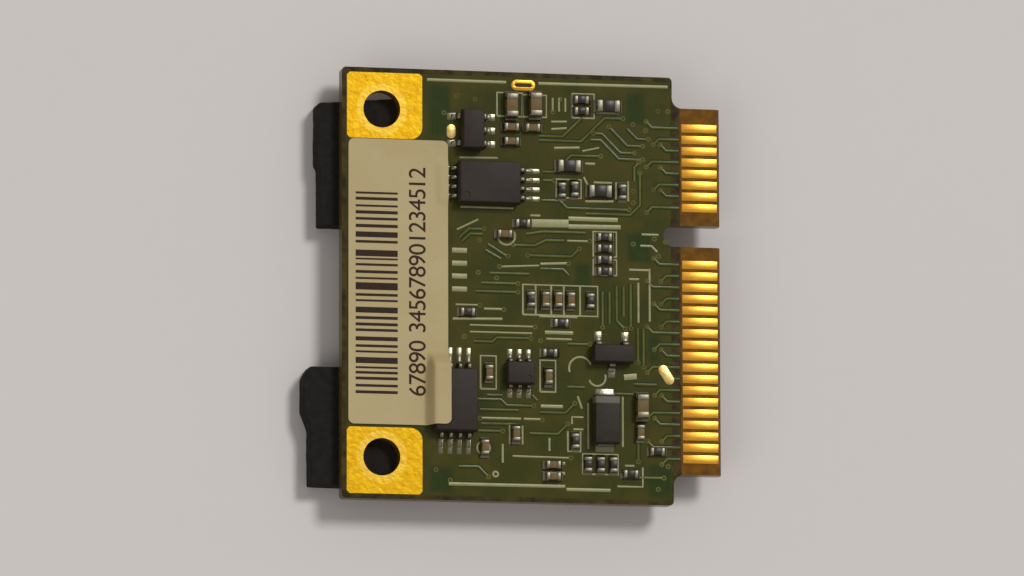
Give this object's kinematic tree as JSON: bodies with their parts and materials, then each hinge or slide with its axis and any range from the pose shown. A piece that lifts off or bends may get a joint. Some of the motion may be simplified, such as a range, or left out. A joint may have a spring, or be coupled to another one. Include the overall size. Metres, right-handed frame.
{
  "type": "laptop wifi card",
  "caption": "Half length wireless mini card with an edge tongue, key notch, plated screw holes, label, foam pads and a shielded radio underneath.",
  "frame": {"origin": "under the middle of the card with its foam pads, on the outer face of the shield cover, which is what the card lies on", "axes": "+X towards the edge contacts, +Y along the screw holes towards the short contact row, +Z out of the label side"},
  "size_m": [0.0292, 0.03, 0.0041],
  "materials": {
    "black_foam": "black closed cell foam, matt",
    "board_laminate": "olive green solder mask over glass laminate, brown bare laminate at the tongue",
    "capacitor_ceramic": "tan brown sintered ceramic",
    "crystal_metal": "plated lid, satin",
    "ferrite": "dark ferrite",
    "field_gold": "gold plated copper, slightly uneven",
    "gold": "thin gold plating, satin",
    "grey_moulding": "dark grey moulding with a lighter end band",
    "ivory_plastic": "ivory moulding",
    "label_paper": "off-white paper, matt, printed dark brown",
    "moulding": "dark grey moulding, fine matt",
    "resistor_glaze": "black glaze on white ceramic",
    "shield_metal": "drawn nickel silver sheet, satin",
    "solder": "reflowed solder",
    "tin": "matt tin plating"
  },
  "bodies": {
    "root": {"amplifier_chips": "moulding", "antenna_switches": "moulding", "capacitor_bodies": "capacitor_ceramic", "capacitor_terminals": "tin", "chip_lands": "solder", "circuit_board": "board_laminate", "contacts_label_side": "gold", "contacts_shield_side": "gold", "crystal": "crystal_metal", "foam_pad_lower": "black_foam", "foam_pad_upper": "black_foam", "inner_capacitor_bodies": "capacitor_ceramic", "inner_capacitor_terminals": "tin", "inner_coils": "ferrite", "inner_resistor_bodies": "resistor_glaze", "inner_resistor_terminals": "tin", "jack_bases": "ivory_plastic", "jack_pins": "gold", "jack_shells": "gold", "jack_tabs": "gold", "logic_chip_body": "moulding", "logic_chip_leads": "tin", "memory_chip_body": "moulding", "memory_chip_leads": "tin", "polar_capacitor_body": "grey_moulding", "polar_capacitor_terminals": "tin", "product_label": "label_paper", "radio_chip_body": "moulding", "radio_chip_pads": "tin", "regulator_body": "moulding", "regulator_leads": "tin", "resistor_bodies": "resistor_glaze", "resistor_terminals": "tin", "screw_plating_lower": "field_gold", "screw_plating_upper": "field_gold", "shield_cover": "shield_metal", "shield_frame": "shield_metal", "switch_chip_body": "moulding", "switch_chip_leads": "tin", "test_pads": "gold", "transistor_body": "moulding", "transistor_leads": "tin"}
  },
  "joints": []
}
